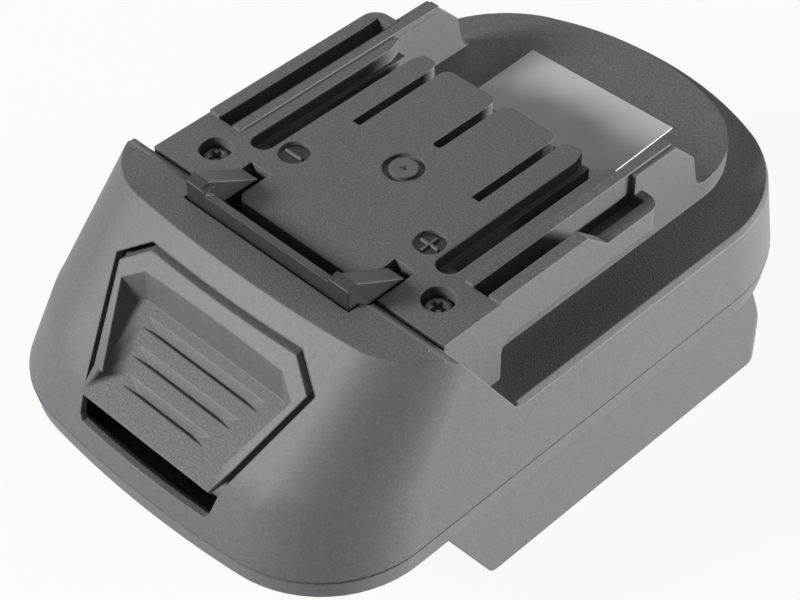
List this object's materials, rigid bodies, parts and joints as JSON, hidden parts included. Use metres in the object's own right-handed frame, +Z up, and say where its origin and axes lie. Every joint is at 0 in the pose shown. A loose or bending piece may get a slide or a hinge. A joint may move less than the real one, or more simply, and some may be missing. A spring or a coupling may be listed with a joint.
{
  "type": "tool battery adapter",
  "caption": "Adapter with a slide-in rail block and sprung release catch for a power tool on top and a dock with contact blades for another battery pack underneath.",
  "frame": {"origin": "below the middle of the body, on the plane that the dock stands on", "axes": "+X across to the plus terminal's side, +Y from the button end to the rounded end, +Z up"},
  "size_m": [0.0798, 0.1264, 0.0588],
  "materials": {
    "housing_plastic": "fine spark-eroded texture, satin",
    "hook_plastic": "smooth satin",
    "screw_steel": "zinc plated",
    "screw_black": "black oxide",
    "spring_steel": "drawn wire",
    "contact_metal": "nickel plated",
    "insulator": "matte",
    "lead_red": "satin",
    "lead_black": "satin",
    "board_laminate": "solder resist, satin",
    "component_black": "matte",
    "capacitor_sleeve": "gloss",
    "label_film": "bare satin film"
  },
  "bodies": {
    "housing": {"upper_housing": "housing_plastic", "lower_housing": "housing_plastic", "holder_screws": "screw_steel", "board_screws": "screw_steel", "housing_screws": "screw_steel", "deck_screws": "screw_black", "left_spring": "spring_steel", "right_spring": "spring_steel", "positive_clip": "contact_metal", "negative_clip": "contact_metal", "positive_blade": "contact_metal", "negative_blade": "contact_metal", "signal_blades": "contact_metal", "clip_holder": "insulator", "pack_terminal_block": "insulator", "positive_lead": "lead_red", "negative_lead": "lead_black", "circuit_board": "board_laminate", "power_transistors": "component_black", "control_chip": "component_black", "storage_capacitor": "capacitor_sleeve", "label_plate": "label_film"},
    "slider": {"release_button": "housing_plastic", "latch_hook": "hook_plastic", "button_screws": "screw_steel"}
  },
  "joints": [
    {"name": "button_press", "type": "slide", "parent": "housing", "child": "slider", "axis": [0, 0, -1], "range_m": [0, 0.0035], "stiffness_N_per_m": 900, "springref_m": -0.004, "deforming": ["left_spring", "right_spring"]}
  ]
}
